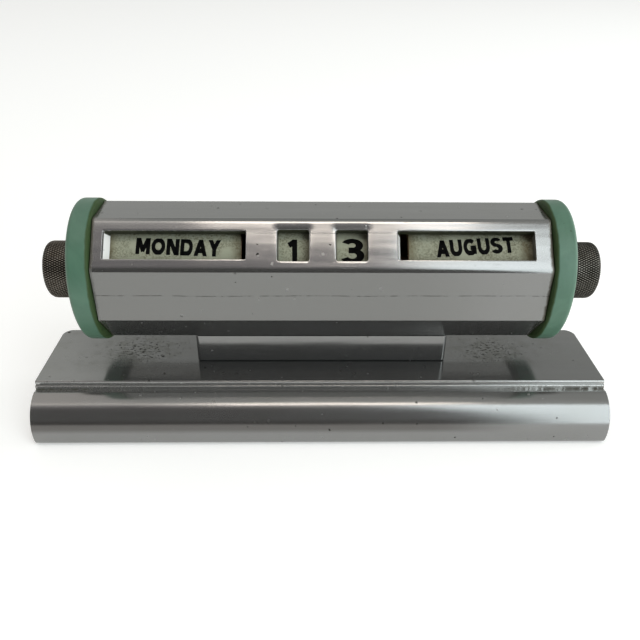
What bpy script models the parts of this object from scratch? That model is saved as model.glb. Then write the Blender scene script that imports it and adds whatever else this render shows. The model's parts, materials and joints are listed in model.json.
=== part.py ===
"""Perpetual desk calendar: four printed drums in an eight-sided tube, on a pedestal and an extruded base.

X runs along the drums, Y away from the reader and Z up. The origin is on the desk, below the middle.
The left knob turns the weekday drum and the right knob the month drum. A knob that is pulled out also
presses its clutch on the date drum next to it.
"""

import math

import bmesh
import bpy

# All sizes are in metres.
GAP = 0.0003  # left between pieces that touch
RUN = 0.0001  # radial play of a shaft in its bore
SIDES = {"left": -1, "right": 1}

# Base: one extrusion along X, open below and at its ends.
BASE_LENGTH = 0.165
BASE_HEIGHT = 0.016  # desk to plate
PLATE_THICKNESS = 0.003
PLATE_REAR = 0.0318  # centre of the front roll to the rear edge
REAR_WALL = 0.003
REAR_CORNER = 0.0035
ROLL_RADIUS = 0.0092
ROLL_DROP = 0.0021  # plate down to the top of the roll
ROLL_WALL = 0.0026
ROLL_FOOT_RADIUS = 0.0025
ROLL_START = 98  # degrees, where the roll comes out of the groove behind it
STEP_TREAD = 0.0006
STEP_RISE = 0.0012  # first of the two steps in front of the plate

# Pedestal block and the two screws through it.
PEDESTAL_LENGTH = 0.0745
PEDESTAL_WIDTH = 0.0142
PEDESTAL_HEIGHT = 0.00835
PEDESTAL_CORNER = 0.001
SCREW_MARGIN = 0.01225  # end of the pedestal to a screw
SCREW_RADIUS = 0.002
SCREW_PLAY = 0.0003
SCREW_HEAD_RADIUS = 0.0036
SCREW_HEAD_HEIGHT = 0.002
SCREW_HEAD_EDGE = 0.001
SCREW_SLOT = 0.0008

# Tube: regular octagon outside, round bore inside, flat side down.
TUBE_FLATS = 0.0353
TUBE_LENGTH = 0.1224
TUBE_CORNER = 0.0007
TUBE_WALL = 0.00235  # at the middle of a flat side
TUBE_SETBACK = 0.0192  # centre of the front roll to the axis of the tube

# Windows in the upper front facet. The long ones are for the weekday and the month.
LONG_WINDOW_INNER = {"left": 0.0204, "right": 0.02035}  # middle of the tube to the window
LONG_WINDOW_MARGIN = {"left": 0.0032, "right": 0.00465}  # window to the end of the tube
LONG_WINDOW_HEIGHT = 0.0079
LONG_WINDOW_CORNER = 0.0004
DATE_WINDOWS = {  # middle along X, width, height and corner radius
    "tens": (-0.00805, 0.0096, 0.0088, 0.0011),
    "units": (0.0076, 0.0096, 0.0091, 0.0011),
}
WINDOW_LIP = 0.0006

# End caps, with a spigot in the bore.
CAP_OVERHANG = 0.00075  # beyond the corners of the tube
CAP_THICKNESS = 0.0060
CAP_EDGE = 0.0012
SPIGOT_DEPTH = 0.002
SPIGOT_WALL = 0.0028

# Knobs, shafts and what sits on them.
KNOB_RADIUS = 0.00807
KNOB_LENGTH = 0.0101
KNOB_EDGE = 0.0019
KNOB_BORE_DEPTH = 0.0078
KNOB_CLEARANCE = {"left": 0.0004, "right": 0.0012}  # knob to end cap
KNOB_TRAVEL = 0.004
GRUB_RADIUS = 0.001
GRUB_RECESS = 0.0008
GRUB_SLOT = 0.0004
SHAFT_RADIUS = 0.002
BUSH_RADIUS = 0.0032
BUSH_FLANGE_RADIUS = 0.005
BUSH_FLANGE = 0.001
PIN_RADIUS = 0.0008
PIN_FROM_HUB_END = 0.0129
PIN_PLAY = 0.0003
RING_RADIUS = 0.0036
RING_THICKNESS = 0.0011
SPRING_LENGTH = 0.0093
SPRING_RADIUS = 0.003
SPRING_WIRE = 0.0003  # radius of the wire
SPRING_TURNS = 5
CLUTCH_RADIUS = 0.005
CLUTCH_THICKNESS = 0.002
WASHER_RADIUS = 0.006
WASHER_THICKNESS = 0.0005

# Drums, and the paper bands on them.
BORE_CLEARANCE = 0.00055  # paper band to bore
DRUM_WALL = 0.0014
DRUM_PLAY = 0.0004  # drum to its neighbour along the axis
HUB_WALL = 0.0019
LABEL_PLAY = 0.00015
LABEL_THICKNESS = 0.0004
LABEL_MARGIN = 0.0001
LONG_DRUM_SHORTFALL = {"left": 0.0016, "right": 0.00275}  # inner end of the window to the drum
DATE_DRUM_LENGTH = 0.014

# Discs in the bore.
BEARING_THICKNESS = 0.0018
BOSS_RADIUS = 0.0045
PARTITION_THICKNESS = 0.0015
BRAKE_THICKNESS = 0.0005
BRAKE_RADII = (0.008, 0.012)

FINE, MEDIUM, COARSE, TINY = 32, 24, 16, 12  # sides of round pieces, by size

# Sizes and places that follow from those above.
TUBE_CORNER_REACH = TUBE_FLATS / 2 / math.cos(math.pi / 8)
CAP_RADIUS = TUBE_CORNER_REACH + CAP_OVERHANG
BORE_RADIUS = TUBE_FLATS / 2 - TUBE_WALL
LABEL_RADIUS = BORE_RADIUS - BORE_CLEARANCE - LABEL_THICKNESS  # inside
DRUM_RADIUS = LABEL_RADIUS - LABEL_PLAY
SCREW_FROM_MIDDLE = PEDESTAL_LENGTH / 2 - SCREW_MARGIN
AXIS_Y = (TUBE_SETBACK + ROLL_RADIUS - CAP_RADIUS) / 2
PEDESTAL_FLOOR = BASE_HEIGHT + GAP
AXIS_Z = PEDESTAL_FLOOR + PEDESTAL_HEIGHT + GAP + TUBE_FLATS / 2
ROLL_Y = AXIS_Y - TUBE_SETBACK
ROLL_Z = BASE_HEIGHT - ROLL_DROP - ROLL_RADIUS
REAR_Y = ROLL_Y + PLATE_REAR
CAP_INNER = TUBE_LENGTH / 2 + GAP
CAP_OUTER = CAP_INNER + CAP_THICKNESS
SPIGOT_END = CAP_INNER - SPIGOT_DEPTH
SPIGOT_RADIUS = BORE_RADIUS - GAP
SHAFT_BORE = SHAFT_RADIUS + RUN
FLANGE_OUTER = CAP_INNER - GAP
FLANGE_INNER = FLANGE_OUTER - BUSH_FLANGE
SPRING_OUTER = FLANGE_INNER - GAP
RING_OUTER = SPRING_OUTER - SPRING_LENGTH - GAP
HUB_OUTER = RING_OUTER - RING_THICKNESS - GAP
PIN_FROM_MIDDLE = HUB_OUTER - PIN_FROM_HUB_END
LONG_DRUM_OUTER = SPIGOT_END - DRUM_PLAY
HUB_RADIUS = SHAFT_BORE + HUB_WALL
DATE_DRUM_INNER = BEARING_THICKNESS / 2 + DRUM_PLAY
DATE_DRUM_OUTER = DATE_DRUM_INNER + DATE_DRUM_LENGTH
BRAKE_INNER = DATE_DRUM_OUTER + GAP
PARTITION_INNER = BRAKE_INNER + BRAKE_THICKNESS + GAP
PARTITION_OUTER = PARTITION_INNER + PARTITION_THICKNESS
HUB_INNER = PARTITION_OUTER + GAP
WASHER_OUTER = DATE_DRUM_OUTER - DRUM_WALL - DRUM_PLAY - KNOB_TRAVEL
CLUTCH_OUTER = WASHER_OUTER - WASHER_THICKNESS - GAP
BOSS_REACH = CLUTCH_OUTER - CLUTCH_THICKNESS - GAP
SHAFT_INNER = BEARING_THICKNESS / 2 - RUN

MATERIALS = {
    "polished_aluminium": ((0.60, 0.60, 0.60), 0.22, 1.0),
    "green_plastic": ((0.13, 0.27, 0.18), 0.38, 0.0),
    "dark_metal": ((0.16, 0.14, 0.12), 0.45, 1.0),
    "steel": ((0.50, 0.50, 0.50), 0.35, 1.0),
    "brass": ((0.60, 0.45, 0.18), 0.35, 1.0),
    "tinplate": ((0.42, 0.41, 0.38), 0.45, 1.0),
    "label_paper": ((0.52, 0.52, 0.41), 0.85, 0.0),
    "brown_fibre": ((0.10, 0.055, 0.03), 0.75, 0.0),
    "felt": ((0.05, 0.10, 0.06), 0.95, 0.0),
}


def clear_scene():
    for obj in list(bpy.data.objects):
        bpy.data.objects.remove(obj, do_unlink=True)


def new_collection(name):
    collection = bpy.data.collections.new(name)
    bpy.context.scene.collection.children.link(collection)
    return collection


def principled(name):
    """The named material, made once."""
    if name in bpy.data.materials:
        return bpy.data.materials[name]
    colour, roughness, metallic = MATERIALS[name]
    material = bpy.data.materials.new(name)
    material.use_nodes = True
    shader = material.node_tree.nodes["Principled BSDF"]
    shader.inputs["Base Color"].default_value = (*colour, 1.0)
    shader.inputs["Roughness"].default_value = roughness
    shader.inputs["Metallic"].default_value = metallic
    return material


clear_scene()
parts = new_collection("desk_calendar")
cutters = new_collection("cutters")


def add_object(name, data, material=None):
    """Links a new object to the parts or, with no material, to the cutters."""
    obj = bpy.data.objects.new(name, data)
    if material is None:
        cutters.objects.link(obj)
        obj.hide_render = True
        obj.display_type = "WIRE"
    else:
        parts.objects.link(obj)
        data.materials.append(principled(material))
    return obj


def arc(centre, radius, start, end, steps):
    """Points on an arc from start to end, in degrees, both ends included."""
    angles = [math.radians(start + (end - start) * i / steps) for i in range(steps + 1)]
    return [(centre[0] + radius * math.cos(a), centre[1] + radius * math.sin(a)) for a in angles]


def rounded(corners, radius, steps):
    """A convex outline with each corner replaced by an arc, tangent to both of its sides."""
    outline = []
    for i, corner in enumerate(corners):
        before, after = corners[i - 1], corners[(i + 1) % len(corners)]
        into = math.atan2(corner[1] - before[1], corner[0] - before[0])
        out = math.atan2(after[1] - corner[1], after[0] - corner[0])
        turn = (out - into + math.pi) % (2 * math.pi) - math.pi
        back = radius * math.tan(abs(turn) / 2)
        hand = math.copysign(1, turn)
        start = (corner[0] - back * math.cos(into), corner[1] - back * math.sin(into))
        centre = (start[0] - hand * radius * math.sin(into), start[1] + hand * radius * math.cos(into))
        first = math.degrees(into) - hand * 90
        outline += arc(centre, radius, first, first + math.degrees(turn), steps)
    return outline


def mesh_of(obj):
    """The object's evaluated shape as a mesh with its caps welded on."""
    graph = bpy.context.evaluated_depsgraph_get()
    mesh = bpy.data.meshes.new_from_object(obj.evaluated_get(graph))
    shape = bmesh.new()
    shape.from_mesh(mesh)
    bmesh.ops.remove_doubles(shape, verts=shape.verts, dist=1e-6)
    shape.to_mesh(mesh)
    shape.free()
    return mesh


def extrusion(name, outlines, length, location, rotation, material=None):
    """Flat outlines extruded by length, half to each side. The second outline is a hole."""
    curve = bpy.data.curves.new(name, "CURVE")
    curve.dimensions = "2D"
    curve.fill_mode = "BOTH"
    curve.extrude = length / 2
    for outline in outlines:
        spline = curve.splines.new("POLY")
        spline.points.add(len(outline) - 1)
        spline.use_cyclic_u = True
        for point, (x, y) in zip(spline.points, outline):
            point.co = (x, y, 0, 1)
    drawn = bpy.data.objects.new(name, curve)
    cutters.objects.link(drawn)
    bpy.context.view_layer.update()
    mesh = mesh_of(drawn)
    bpy.data.objects.remove(drawn)
    obj = add_object(name, mesh, material)
    obj.location = location
    obj.rotation_euler = rotation
    return obj


ALONG_X = (math.pi / 2, 0, math.pi / 2)  # outline (x, y) becomes (Y, Z) and the length X
UPRIGHT = (0, 0, 0)


def turned(name, profile, sides, material=None, is_closed=True):
    """Turns a profile of (radius, distance along X) points about the drum axis."""
    area = sum(a[0] * b[1] - b[0] * a[1] for a, b in zip(profile, profile[1:] + profile[:1]))
    ordered = profile if area < 0 else profile[::-1]
    mesh = bpy.data.meshes.new(name)
    edges = [(i, i + 1) for i in range(len(ordered) - 1)]
    if is_closed:
        edges.append((len(ordered) - 1, 0))
    mesh.from_pydata([(radius, 0, along) for radius, along in ordered], edges, [])
    obj = add_object(name, mesh, material)
    screw = obj.modifiers.new("turn", "SCREW")
    screw.axis = "Z"
    screw.steps = sides
    screw.render_steps = sides
    screw.use_merge_vertices = True
    screw.merge_threshold = 1e-6
    screw.use_smooth_shade = True
    obj.location = (0, AXIS_Y, AXIS_Z)
    obj.rotation_euler = (0, math.pi / 2, 0)
    return obj


def rod(name, radius, start, end, sides, material=None):
    """A solid cylinder on the drum axis."""
    profile = [(0, end), (radius, end), (radius, start), (0, start)]
    return turned(name, profile, sides, material, is_closed=False)


def ring(name, inner, outer, start, end, sides, material=None):
    """A cylinder with a bore, on the drum axis."""
    profile = [(outer, end), (outer, start), (inner, start), (inner, end)]
    return turned(name, profile, sides, material)


def on_side(side, profile):
    """A profile given outwards from the middle, on the left or the right."""
    return [(radius, SIDES[side] * along) for radius, along in profile]


def place(obj, location, rotation=UPRIGHT):
    """Puts a solid that was turned about the drum axis somewhere else."""
    obj.location = location
    obj.rotation_euler = rotation
    return obj


def box(name, size, location, rotation=UPRIGHT, material=None):
    mesh = bpy.data.meshes.new(name)
    shape = bmesh.new()
    bmesh.ops.create_cube(shape, size=1)
    bmesh.ops.scale(shape, vec=size, verts=shape.verts)
    shape.to_mesh(mesh)
    shape.free()
    return place(add_object(name, mesh, material), location, rotation)


def combine(obj, other, operation="DIFFERENCE"):
    boolean = obj.modifiers.new(other.name, "BOOLEAN")
    boolean.operation = operation
    boolean.solver = "EXACT"
    boolean.object = other


def screw_places():
    return {side: (sign * SCREW_FROM_MIDDLE, AXIS_Y) for side, sign in SIDES.items()}


def drill_for_screws(obj, radius):
    """Cuts the two upright screw holes that go through base, pedestal and tube."""
    for side, (x, y) in screw_places().items():
        drill = rod(f"{obj.name}_drill_{side}", radius, -AXIS_Z, 0, COARSE)
        combine(obj, place(drill, (x, y, AXIS_Z)))


def make_base():
    roll = (ROLL_Y, ROLL_Z)
    # Below its nose the roll turns under on a smaller arc, tangent to the roll and to the desk.
    dip = math.asin((ROLL_Z - ROLL_FOOT_RADIUS) / (ROLL_RADIUS - ROLL_FOOT_RADIUS))
    meeting = 180 + math.degrees(dip)
    foot = (ROLL_Y - (ROLL_RADIUS - ROLL_FOOT_RADIUS) * math.cos(dip), ROLL_FOOT_RADIUS)
    inner = ROLL_RADIUS - ROLL_WALL
    inner_floor = math.degrees(math.asin(-ROLL_Z / inner))
    plate_under = BASE_HEIGHT - PLATE_THICKNESS
    tread_y = ROLL_Y + STEP_TREAD / 2
    outline = [(REAR_Y, 0), (REAR_Y, BASE_HEIGHT)]
    outline += [(tread_y + STEP_TREAD, BASE_HEIGHT), (tread_y + STEP_TREAD, BASE_HEIGHT - STEP_RISE)]
    outline += [(tread_y, BASE_HEIGHT - STEP_RISE), (tread_y, BASE_HEIGHT - ROLL_DROP - GAP)]
    outline += [(ROLL_Y - STEP_TREAD, BASE_HEIGHT - ROLL_DROP - GAP)]
    outline += arc(roll, ROLL_RADIUS, ROLL_START, meeting, 14)
    outline += arc(foot, ROLL_FOOT_RADIUS, meeting, 270, 4)[1:]
    outline += arc(roll, inner, 180 - inner_floor, 90, 10)
    outline += [(ROLL_Y + ROLL_WALL, plate_under)]
    outline += [(REAR_Y - REAR_WALL, plate_under), (REAR_Y - REAR_WALL, 0)]
    base = extrusion("base", [outline], BASE_LENGTH, (0, 0, 0), ALONG_X, "polished_aluminium")
    combine(base, make_base_plan(), "INTERSECT")
    drill_for_screws(base, SCREW_RADIUS + SCREW_PLAY)


def make_base_plan():
    """The outline of the base seen from above, with its rounded rear corners."""
    half = BASE_LENGTH / 2 + GAP
    front = ROLL_Y - 2 * ROLL_RADIUS
    rear = REAR_Y + GAP
    reach = REAR_CORNER + GAP
    plan = [(-half, front), (half, front)]
    plan += arc((half - reach, rear - reach), REAR_CORNER, 0, 90, 6)
    plan += arc((reach - half, rear - reach), REAR_CORNER, 90, 180, 6)
    return extrusion("base_plan", [plan], 2 * (BASE_HEIGHT + GAP), (0, 0, 0), UPRIGHT)


def make_pedestal():
    half_length, half_width = PEDESTAL_LENGTH / 2, PEDESTAL_WIDTH / 2
    corners = [(-half_length, -half_width), (half_length, -half_width)]
    corners += [(half_length, half_width), (-half_length, half_width)]
    middle = (0, AXIS_Y, PEDESTAL_FLOOR + PEDESTAL_HEIGHT / 2)
    outline = rounded(corners, PEDESTAL_CORNER, 4)
    pedestal = extrusion("pedestal", [outline], PEDESTAL_HEIGHT, middle, UPRIGHT, "polished_aluminium")
    drill_for_screws(pedestal, SCREW_RADIUS + SCREW_PLAY)


def make_pedestal_screws():
    """Slotted screws from below, which end in the wall of the tube."""
    head_top = BASE_HEIGHT - PLATE_THICKNESS - GAP
    head_floor = head_top - SCREW_HEAD_HEIGHT
    tip = AXIS_Z - BORE_RADIUS - GAP
    for side, (x, y) in screw_places().items():
        name = f"pedestal_screw_{side}"
        profile = [(0, tip), (SCREW_RADIUS, tip), (SCREW_RADIUS, head_top), (SCREW_HEAD_RADIUS, head_top)]
        edge = (SCREW_HEAD_RADIUS - SCREW_HEAD_EDGE, head_floor + SCREW_HEAD_EDGE)
        profile += arc(edge, SCREW_HEAD_EDGE, 0, -90, 3)
        profile += [(0, head_floor)]
        screw = place(turned(name, profile, COARSE, "steel", is_closed=False), (x, y, 0))
        slot_size = (SCREW_SLOT, 3 * SCREW_HEAD_RADIUS, SCREW_HEAD_HEIGHT)
        combine(screw, box(f"{name}_slot", slot_size, (x, y, head_floor)))


def make_window_cutter(name, middle, width, height, corner):
    """A prism through the upper front facet, with a lip that flares at the surface."""
    facet = TUBE_FLATS / 2
    depth = facet - BORE_RADIUS
    mesh = bpy.data.meshes.new(f"{name}_window")
    shape = bmesh.new()
    half_width, half_height = width / 2, height / 2
    corners = [(-half_width, -half_height), (half_width, -half_height)]
    corners += [(half_width, half_height), (-half_width, half_height)]
    outline = rounded(corners, corner, 3)
    floor = shape.faces.new([shape.verts.new((x, y, facet - 2 * depth)) for x, y in outline])
    top = floor
    for rise, growth in ((2 * depth - WINDOW_LIP, 0), (2 * WINDOW_LIP, 2 * WINDOW_LIP)):
        raised = bmesh.ops.extrude_face_region(shape, geom=[top])["geom"]
        if top is not floor:
            shape.faces.remove(top)
        verts = [item for item in raised if isinstance(item, bmesh.types.BMVert)]
        top = next(item for item in raised if isinstance(item, bmesh.types.BMFace))
        stretch = (1 + growth / width, 1 + growth / height, 1)
        bmesh.ops.scale(shape, vec=stretch, verts=verts)
        bmesh.ops.translate(shape, vec=(0, 0, rise), verts=verts)
    bmesh.ops.recalc_face_normals(shape, faces=shape.faces)
    shape.to_mesh(mesh)
    shape.free()
    cutter = add_object(f"{name}_window", mesh)
    return place(cutter, (middle, AXIS_Y, AXIS_Z), (math.pi / 4, 0, 0))


def long_window(side):
    inner = LONG_WINDOW_INNER[side]
    outer = TUBE_LENGTH / 2 - LONG_WINDOW_MARGIN[side]
    middle = SIDES[side] * (inner + outer) / 2
    return middle, outer - inner, LONG_WINDOW_HEIGHT, LONG_WINDOW_CORNER


def make_tube():
    corners = arc((0, 0), TUBE_CORNER_REACH, 22.5, 360 - 22.5, 7)
    outside = rounded(corners, TUBE_CORNER, 2)
    bore = arc((0, 0), BORE_RADIUS, 0, 360 * (1 - 1 / FINE), FINE - 1)
    axis = (0, AXIS_Y, AXIS_Z)
    tube = extrusion("tube", [outside, bore], TUBE_LENGTH, axis, ALONG_X, "polished_aluminium")
    windows = {"weekday": long_window("left"), "month": long_window("right"), **DATE_WINDOWS}
    for name, sizes in windows.items():
        combine(tube, make_window_cutter(name, *sizes))
    drill_for_screws(tube, SCREW_RADIUS + RUN)


def make_end(side):
    """End cap and its bush."""
    rim = CAP_RADIUS - CAP_EDGE
    hole = BUSH_RADIUS + RUN
    inside = SPIGOT_RADIUS - SPIGOT_WALL
    cap = arc((rim, CAP_OUTER - CAP_EDGE), CAP_EDGE, 90, 0, 3)
    cap += arc((rim, CAP_INNER + CAP_EDGE), CAP_EDGE, 0, -90, 3)
    cap += [(SPIGOT_RADIUS, CAP_INNER), (SPIGOT_RADIUS, SPIGOT_END), (inside, SPIGOT_END)]
    cap += [(inside, CAP_INNER), (hole, CAP_INNER), (hole, CAP_OUTER)]
    turned(f"end_cap_{side}", on_side(side, cap), FINE, "green_plastic")
    bush = [(BUSH_RADIUS, CAP_OUTER), (BUSH_RADIUS, FLANGE_OUTER), (BUSH_FLANGE_RADIUS, FLANGE_OUTER)]
    bush += [(BUSH_FLANGE_RADIUS, FLANGE_INNER), (SHAFT_BORE, FLANGE_INNER), (SHAFT_BORE, CAP_OUTER)]
    turned(f"bush_{side}", on_side(side, bush), COARSE, "brass")


def make_knob(side):
    """Knob, blind-bored for the shaft, and the grub screw at its back."""
    inner = CAP_OUTER + KNOB_CLEARANCE[side]
    outer = inner + KNOB_LENGTH
    bore_end = inner + KNOB_BORE_DEPTH
    rim = KNOB_RADIUS - KNOB_EDGE
    knob = [(0, outer)]
    knob += arc((rim, outer - KNOB_EDGE), KNOB_EDGE, 90, 0, 4)
    knob += [(KNOB_RADIUS, inner + GAP), (KNOB_RADIUS - GAP, inner)]
    knob += [(SHAFT_BORE, inner), (SHAFT_BORE, bore_end), (0, bore_end)]
    turned_knob = turned(f"knob_{side}", on_side(side, knob), FINE, "dark_metal", is_closed=False)
    x = SIDES[side] * (inner + KNOB_BORE_DEPTH / 2)
    hole = rod(f"knob_{side}_hole", GRUB_RADIUS + RUN, SHAFT_RADIUS, KNOB_RADIUS + RUN, TINY)
    rearwards = (-math.pi / 2, 0, 0)
    combine(turned_knob, place(hole, (x, AXIS_Y, AXIS_Z), rearwards))
    grub_end = KNOB_RADIUS - GRUB_RECESS
    grub = rod(f"knob_screw_{side}", GRUB_RADIUS, SHAFT_BORE + GAP, grub_end, TINY, "steel")
    place(grub, (x, AXIS_Y, AXIS_Z), rearwards)
    slot_size = (GRUB_SLOT, 2 * GRUB_SLOT, 4 * GRUB_RADIUS)
    slot_place = (x, AXIS_Y + grub_end, AXIS_Z)
    combine(grub, box(f"knob_screw_{side}_slot", slot_size, slot_place))


def make_shaft(side):
    """Shaft, drive pin, retaining ring, return spring and clutch."""
    sign = SIDES[side]
    in_knob = CAP_OUTER + KNOB_CLEARANCE[side] + KNOB_BORE_DEPTH - GAP
    ends = sorted((sign * SHAFT_INNER, sign * in_knob))
    shaft = rod(f"shaft_{side}", SHAFT_RADIUS, *ends, COARSE, "steel")
    pin_place = (sign * PIN_FROM_MIDDLE, AXIS_Y, AXIS_Z)
    pin_half = HUB_RADIUS - RUN
    hole = rod(f"shaft_{side}_hole", PIN_RADIUS + RUN, -pin_half, pin_half, TINY)
    combine(shaft, place(hole, pin_place))
    place(rod(f"drive_pin_{side}", PIN_RADIUS, -pin_half, pin_half, TINY, "steel"), pin_place)
    for name, outer, start, thickness, material in (
        ("retaining_ring", RING_RADIUS, RING_OUTER, RING_THICKNESS, "steel"),
        ("clutch_collar", CLUTCH_RADIUS, CLUTCH_OUTER, CLUTCH_THICKNESS, "brass"),
        ("clutch_washer", WASHER_RADIUS, WASHER_OUTER, WASHER_THICKNESS, "brown_fibre"),
    ):
        faces = sorted((sign * start, sign * (start - thickness)))
        ring(f"{name}_{side}", SHAFT_BORE, outer, *faces, COARSE, material)
    make_spring(side)


def make_spring(side):
    """An open coil between the flange of the bush and the retaining ring."""
    steps = SPRING_TURNS * 10
    length = SPRING_LENGTH - 2 * SPRING_WIRE
    curve = bpy.data.curves.new(f"return_spring_{side}", "CURVE")
    curve.dimensions = "3D"
    curve.bevel_depth = SPRING_WIRE
    curve.bevel_resolution = 2
    curve.use_fill_caps = True
    spline = curve.splines.new("POLY")
    spline.points.add(steps)
    for i, point in enumerate(spline.points):
        angle = 2 * math.pi * SPRING_TURNS * i / steps
        along = SIDES[side] * (SPRING_OUTER - SPRING_WIRE - length * i / steps)
        point.co = (along, SPRING_RADIUS * math.cos(angle), SPRING_RADIUS * math.sin(angle), 1)
    add_object(curve.name, curve, "steel").location = (0, AXIS_Y, AXIS_Z)


def make_label(name, inner, outer, side):
    faces = sorted((SIDES[side] * (inner + LABEL_MARGIN), SIDES[side] * (outer - LABEL_MARGIN)))
    ring(f"{name}_label", LABEL_RADIUS, LABEL_RADIUS + LABEL_THICKNESS, *faces, FINE, "label_paper")


def make_long_drum(name, side):
    """Weekday or month drum: a shell on a web, with a long hub that the drive pin slides in."""
    inner_end = LONG_WINDOW_INNER[side] + LONG_DRUM_SHORTFALL[side]
    shell = DRUM_RADIUS - DRUM_WALL
    web = HUB_OUTER - 2 * DRUM_WALL
    drum = [(DRUM_RADIUS, LONG_DRUM_OUTER), (DRUM_RADIUS, inner_end), (shell, inner_end)]
    drum += [(shell, web), (HUB_RADIUS, web), (HUB_RADIUS, HUB_INNER), (SHAFT_BORE, HUB_INNER)]
    drum += [(SHAFT_BORE, HUB_OUTER), (HUB_RADIUS, HUB_OUTER), (HUB_RADIUS, web + DRUM_WALL)]
    drum += [(shell, web + DRUM_WALL), (shell, LONG_DRUM_OUTER)]
    made = turned(f"{name}_drum", on_side(side, drum), FINE, "tinplate")
    reach = PIN_RADIUS + PIN_PLAY
    slot_size = (KNOB_TRAVEL + 2 * reach, 2 * reach, 3 * HUB_RADIUS)
    slot_x = SIDES[side] * (PIN_FROM_MIDDLE + KNOB_TRAVEL / 2)
    combine(made, box(f"{name}_slot", slot_size, (slot_x, AXIS_Y, AXIS_Z)))
    make_label(name, inner_end, LONG_DRUM_OUTER, side)


def make_date_drum(name, side):
    """Tens or units drum: a cup whose hub runs in the partition."""
    shell = DRUM_RADIUS - DRUM_WALL
    web = DATE_DRUM_OUTER - DRUM_WALL
    hub_end = PARTITION_OUTER - GAP
    drum = [(DRUM_RADIUS, DATE_DRUM_OUTER), (DRUM_RADIUS, DATE_DRUM_INNER), (shell, DATE_DRUM_INNER)]
    drum += [(shell, web), (SHAFT_BORE, web), (SHAFT_BORE, hub_end), (HUB_RADIUS, hub_end)]
    drum += [(HUB_RADIUS, DATE_DRUM_OUTER)]
    turned(f"{name}_drum", on_side(side, drum), FINE, "tinplate")
    make_label(name, DATE_DRUM_INNER, DATE_DRUM_OUTER, side)


def make_partition(side):
    sign = SIDES[side]
    faces = sorted((sign * PARTITION_INNER, sign * PARTITION_OUTER))
    ring(f"partition_{side}", HUB_RADIUS + RUN, SPIGOT_RADIUS, *faces, FINE, "brown_fibre")
    faces = sorted((sign * BRAKE_INNER, sign * (BRAKE_INNER + BRAKE_THICKNESS)))
    ring(f"brake_ring_{side}", *BRAKE_RADII, *faces, MEDIUM, "felt")


def make_centre_bearing():
    half = BEARING_THICKNESS / 2
    bearing = [(SPIGOT_RADIUS, half), (SPIGOT_RADIUS, -half), (BOSS_RADIUS, -half)]
    bearing += [(BOSS_RADIUS, -BOSS_REACH), (SHAFT_BORE, -BOSS_REACH), (SHAFT_BORE, BOSS_REACH)]
    bearing += [(BOSS_RADIUS, BOSS_REACH), (BOSS_RADIUS, half)]
    turned("centre_bearing", bearing, FINE, "tinplate")


def shade_round_pieces():
    for obj in parts.objects:
        if obj.type == "MESH":
            obj.data.shade_smooth()
            obj.data.set_sharp_from_angle(angle=math.radians(30))


make_base()
make_pedestal()
make_pedestal_screws()
make_tube()
make_centre_bearing()
for hand in SIDES:
    make_end(hand)
    make_knob(hand)
    make_shaft(hand)
    make_partition(hand)
make_long_drum("weekday", "left")
make_long_drum("month", "right")
make_date_drum("tens", "left")
make_date_drum("units", "right")
shade_round_pieces()
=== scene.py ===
import json
import math

import bmesh
import bpy
from mathutils import Matrix, Vector


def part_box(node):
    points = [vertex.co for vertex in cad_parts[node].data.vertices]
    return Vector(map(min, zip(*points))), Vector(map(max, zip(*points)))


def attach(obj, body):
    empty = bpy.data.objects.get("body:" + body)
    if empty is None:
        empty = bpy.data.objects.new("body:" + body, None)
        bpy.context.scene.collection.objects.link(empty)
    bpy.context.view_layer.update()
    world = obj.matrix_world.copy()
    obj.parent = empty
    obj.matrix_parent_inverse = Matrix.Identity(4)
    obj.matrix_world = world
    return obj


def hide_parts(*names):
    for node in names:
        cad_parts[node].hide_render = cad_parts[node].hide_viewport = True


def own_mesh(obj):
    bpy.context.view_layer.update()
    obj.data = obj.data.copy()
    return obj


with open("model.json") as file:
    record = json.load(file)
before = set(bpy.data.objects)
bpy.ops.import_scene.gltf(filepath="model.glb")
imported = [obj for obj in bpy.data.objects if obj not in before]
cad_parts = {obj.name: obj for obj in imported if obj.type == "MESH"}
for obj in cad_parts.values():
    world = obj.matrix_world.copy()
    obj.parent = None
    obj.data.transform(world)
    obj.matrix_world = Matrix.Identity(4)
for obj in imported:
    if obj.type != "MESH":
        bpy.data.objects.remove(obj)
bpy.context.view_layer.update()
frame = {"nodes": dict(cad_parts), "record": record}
mm = 0.001

tubeLow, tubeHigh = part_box("tube")
axis = (tubeLow + tubeHigh) / 2
axis.x = 0
facetReach = (tubeHigh.y - tubeLow.y) / 2  # axis to a flat side
upperFacet = math.radians(45)  # the drums are read through this one
sides = {"left": -1, "right": 1}


# camera, lights and floor
cameraSet = {
    "place": (-0.00412, -0.18366, 0.12545),
    "pitch": 34.054,  # degrees below level
    "yaw": 1.601,
    "roll": 0.779,
    "lens": 39.24,
    "shift": (-0.0068, 0.1189),
}


def addCamera():
    pitch, yaw, roll = (math.radians(cameraSet[name]) for name in ("pitch", "yaw", "roll"))
    level = math.cos(pitch)
    ahead = Vector((math.sin(yaw) * level, math.cos(yaw) * level, -math.sin(pitch)))
    right = Vector((math.cos(yaw), -math.sin(yaw), 0))
    up = right.cross(ahead)
    tilted = right * math.cos(roll) + up * math.sin(roll)
    upright = up * math.cos(roll) - right * math.sin(roll)
    turn = Matrix((tilted, upright, -ahead)).transposed().to_4x4()
    data = bpy.data.cameras.new("camera")
    data.lens = cameraSet["lens"]
    data.sensor_width = 36
    data.shift_x, data.shift_y = cameraSet["shift"]
    data.clip_start = 0.01
    camera = bpy.data.objects.new("camera", data)
    camera.matrix_world = Matrix.Translation(cameraSet["place"]) @ turn
    bpy.context.scene.collection.objects.link(camera)
    bpy.context.scene.camera = camera


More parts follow.
